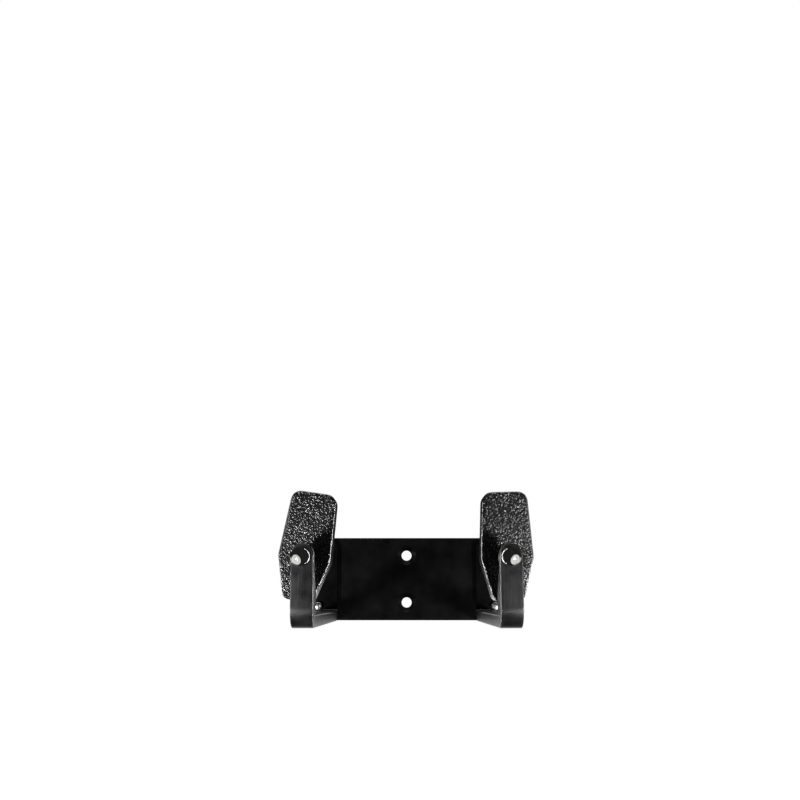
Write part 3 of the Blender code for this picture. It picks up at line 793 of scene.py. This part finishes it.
def make_hardware(side):
    """Everything on the pivot bolt, and the foot screws' ends."""
    make_bolt(side)
    for height in ("lower", "upper"):
        make_screw_end(side, height)
    make_ring(f"{side}_ear_washer", "nylon")
    make_ring(f"{side}_spacer", "nylon")
    make_ring(f"{side}_rear_washer", "zinc_hardware")
    make_wave_washer(side)
    make_bushing(side)
    make_nut(side)
    low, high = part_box(f"{side}_pivot_bolt")
    start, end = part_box(f"{side}_lock_nut")[1].y - 1.0 * MM, high.y - 0.4 * MM
    middle = (low + high) / 2
    make_thread(f"{side}_bolt_thread", middle, BOLT_THREAD_RADIUS, start, end, "bolt_chrome")


# Camera, light and floor ------------------------------------------------

FOCAL_PIXELS = 980.0
FRAME_PIXELS = 800.0
SENSOR = 36.0
CAMERA_PLACE = (0.0, -0.520, -0.01005)
HORIZON_BELOW_CENTRE = 198.6
CENTRE_RIGHT_OF_AXIS = 6.5
FLOOR_HALF = 60.0
FLOOR_HEIGHT = -0.45
DARK_STUDIO = 0.018


def make_camera():
    """The camera in front of the ears, turned to hold the vanishing point in its place."""
    data = bpy.data.cameras.new("camera")
    data.sensor_width = SENSOR
    data.lens = FOCAL_PIXELS / FRAME_PIXELS * SENSOR
    data.clip_start = 0.01
    camera = bpy.data.objects.new("camera", data)
    camera.location = CAMERA_PLACE
    pitch = math.pi / 2 + math.atan(HORIZON_BELOW_CENTRE / FOCAL_PIXELS)
    camera.rotation_euler = (pitch, 0, math.atan(CENTRE_RIGHT_OF_AXIS / FOCAL_PIXELS))
    bpy.context.scene.collection.objects.link(camera)
    bpy.context.scene.camera = camera


def make_lamp(name, place, target, size, power, lit):
    """A soft oval lamp that the camera doesn't see and that lights one collection."""
    data = bpy.data.lights.new(name, "AREA")
    data.shape = "ELLIPSE"
    data.size, data.size_y = size
    data.energy = power
    lamp = bpy.data.objects.new(name, data)
    lamp.location = place
    lamp.rotation_euler = (Vector(target) - Vector(place)).to_track_quat("-Z", "Y").to_euler()
    lamp.visible_camera = False
    bpy.context.scene.collection.objects.link(lamp)
    lamp.light_linking.receiver_collection = lit


def make_world():
    """White where the camera sees it, a glow behind the object, and nearly dark for the black surfaces."""
    world = bpy.data.worlds.new("studio")
    world.use_nodes = True
    tree = world.node_tree
    tree.nodes.clear()

    def add(kind, inputs, **settings):
        node = tree.nodes.new(kind)
        for setting, value in settings.items():
            setattr(node, setting, value)
        for socket, value in inputs.items():
            if isinstance(value, bpy.types.NodeSocket):
                tree.links.new(value, node.inputs[socket])
            else:
                node.inputs[socket].default_value = value
        return node

    def faded(value, start, end, brightest=1.0):
        sockets = {"Value": value, "From Min": start, "From Max": end, "To Max": brightest}
        return add("ShaderNodeMapRange", sockets, interpolation_type="SMOOTHSTEP").outputs["Result"]

    direction = add("ShaderNodeTexCoord", {}).outputs["Generated"]
    split = add("ShaderNodeSeparateXYZ", {"Vector": direction}).outputs
    behind = faded(split["Y"], -0.1, 0.75, 1.3)
    below = faded(split["Z"], 0.04, -0.16)
    above = faded(split["Z"], -0.75, -0.45)
    band = add("ShaderNodeMath", {0: below, 1: above}, operation="MULTIPLY").outputs["Value"]
    glow = add("ShaderNodeMath", {0: behind, 1: band, 2: DARK_STUDIO}, operation="MULTIPLY_ADD")
    seen = add("ShaderNodeLightPath", {}).outputs["Is Camera Ray"]
    pick = add("ShaderNodeMix", {"Factor": seen, "A": glow.outputs["Value"], "B": 1.0}, data_type="FLOAT")
    strength = pick.outputs["Result"]
    background = add("ShaderNodeBackground", {"Color": (1, 1, 1, 1), "Strength": strength})
    add("ShaderNodeOutputWorld", {"Surface": background.outputs["Background"]})
    bpy.context.scene.world = world


def make_floor():
    """A wide pale floor that glows evenly, so it shows no shadow and lights nothing."""
    corners = [(-1, -1), (1, -1), (1, 1), (-1, 1)]
    mesh = bpy.data.meshes.new("floor")
    places = [(x * FLOOR_HALF, y * FLOOR_HALF, FLOOR_HEIGHT) for x, y in corners]
    mesh.from_pydata(places, [], [(0, 1, 2, 3)])
    nodes = Nodes("pale_floor", (0.9, 0.9, 0.9), 0.0, 0.9)
    nodes.shader.inputs["Emission Color"].default_value = (1, 1, 1, 1)
    nodes.shader.inputs["Emission Strength"].default_value = 1.0
    mesh.materials.append(nodes.material)
    floor = bpy.data.objects.new("floor", mesh)
    bpy.context.scene.collection.objects.link(floor)
    floor.visible_glossy = False
    floor.visible_diffuse = False
    floor.visible_shadow = False


def pieces_of(side, group, endings=("",), spared=()):
    """A collection of the meshes on one side, by the ends of their names."""
    lit = bpy.data.collections.new(f"{side}_{group}")
    for piece in bpy.context.scene.objects:
        if piece.type != "MESH" or not piece.name.endswith(endings) or piece.name.endswith(tuple(spared)):
            continue
        middle = sum((Vector(corner) for corner in piece.bound_box), Vector()).x / 8
        if middle * SIDES[side] > -5 * MM:
            lit.objects.link(piece)
    return lit


def make_side_lamps(side):
    """A small key from low outside, soft panels, and narrow strips for the edges that face the neck."""
    sign = SIDES[side]
    key_lit = pieces_of(side, "key_lit", spared=["bent_arm"])
    dull = pieces_of(side, "dull", spared=["domed_bolt"])
    domes = pieces_of(side, "domes", ("domed_bolt",))
    arms = pieces_of(side, "arms", ("bent_arm",))
    heart = (0.04, -0.13, 0)
    # name, place and target with X outwards, size, power in watts, pieces lit
    lamps = [
        ("key", (0.42, -0.66, -0.24), heart, (0.15, 0.15), 6.5, key_lit),
        ("arm_key", (0.42, -0.66, -0.24), heart, (0.45, 0.45), 5.0, arms),
        ("panel", (0.52, -0.60, -0.40), heart, (0.90, 0.90), 1.3, dull),
        ("dome_panel", (0.38, -0.43, -0.25), heart, (1.10, 1.10), 2.4, domes),
        ("strip", (0.001, -0.119, -0.01), (0.03, -0.122, -0.01), (0.0014, 0.09), 0.042, dull),
        ("dome_strip", (0.001, -0.131, -0.005), (0.03, -0.131, -0.01), (0.0016, 0.16), 0.006, domes),
        ("card", (0.0205, -0.014, 0.001), (0.0205, -0.5, 0.001), (0.011, 0.028), 0.0020, arms),
        ("arm_strip", (0.001, -0.150, -0.005), (0.03, -0.146, -0.005), (0.0016, 0.06), 0.028, arms),
        ("rim", (0.33, -0.09, -0.07), heart, (0.02, 0.12), 0.45, dull),
        ("side_fill", (0.70, 0.02, 0.18), heart, (0.80, 0.80), 2.4, dull),
        ("top_fill", (0.10, 0.06, 0.50), heart, (0.50, 0.50), 1.6, dull),
        ("low_band", (0.04, -0.50, -0.17), heart, (0.30, 0.02), 0.13, arms),
    ]
    for name, place, target, size, power, lit in lamps:
        place, target = (sign * place[0], *place[1:]), (sign * target[0], *target[1:])
        make_lamp(f"{side}_{name}", place, target, size, power, lit)


noise.seed_set(GRAIN_SEED)
dress_cad_nodes()
for side in SIDES:
    make_arm(side)
    make_pad(side)
    make_hardware(side)
    make_welds(side)
make_camera()
make_world()
make_floor()
for side in SIDES:
    make_side_lamps(side)
bpy.context.scene.view_settings.view_transform = "Standard"
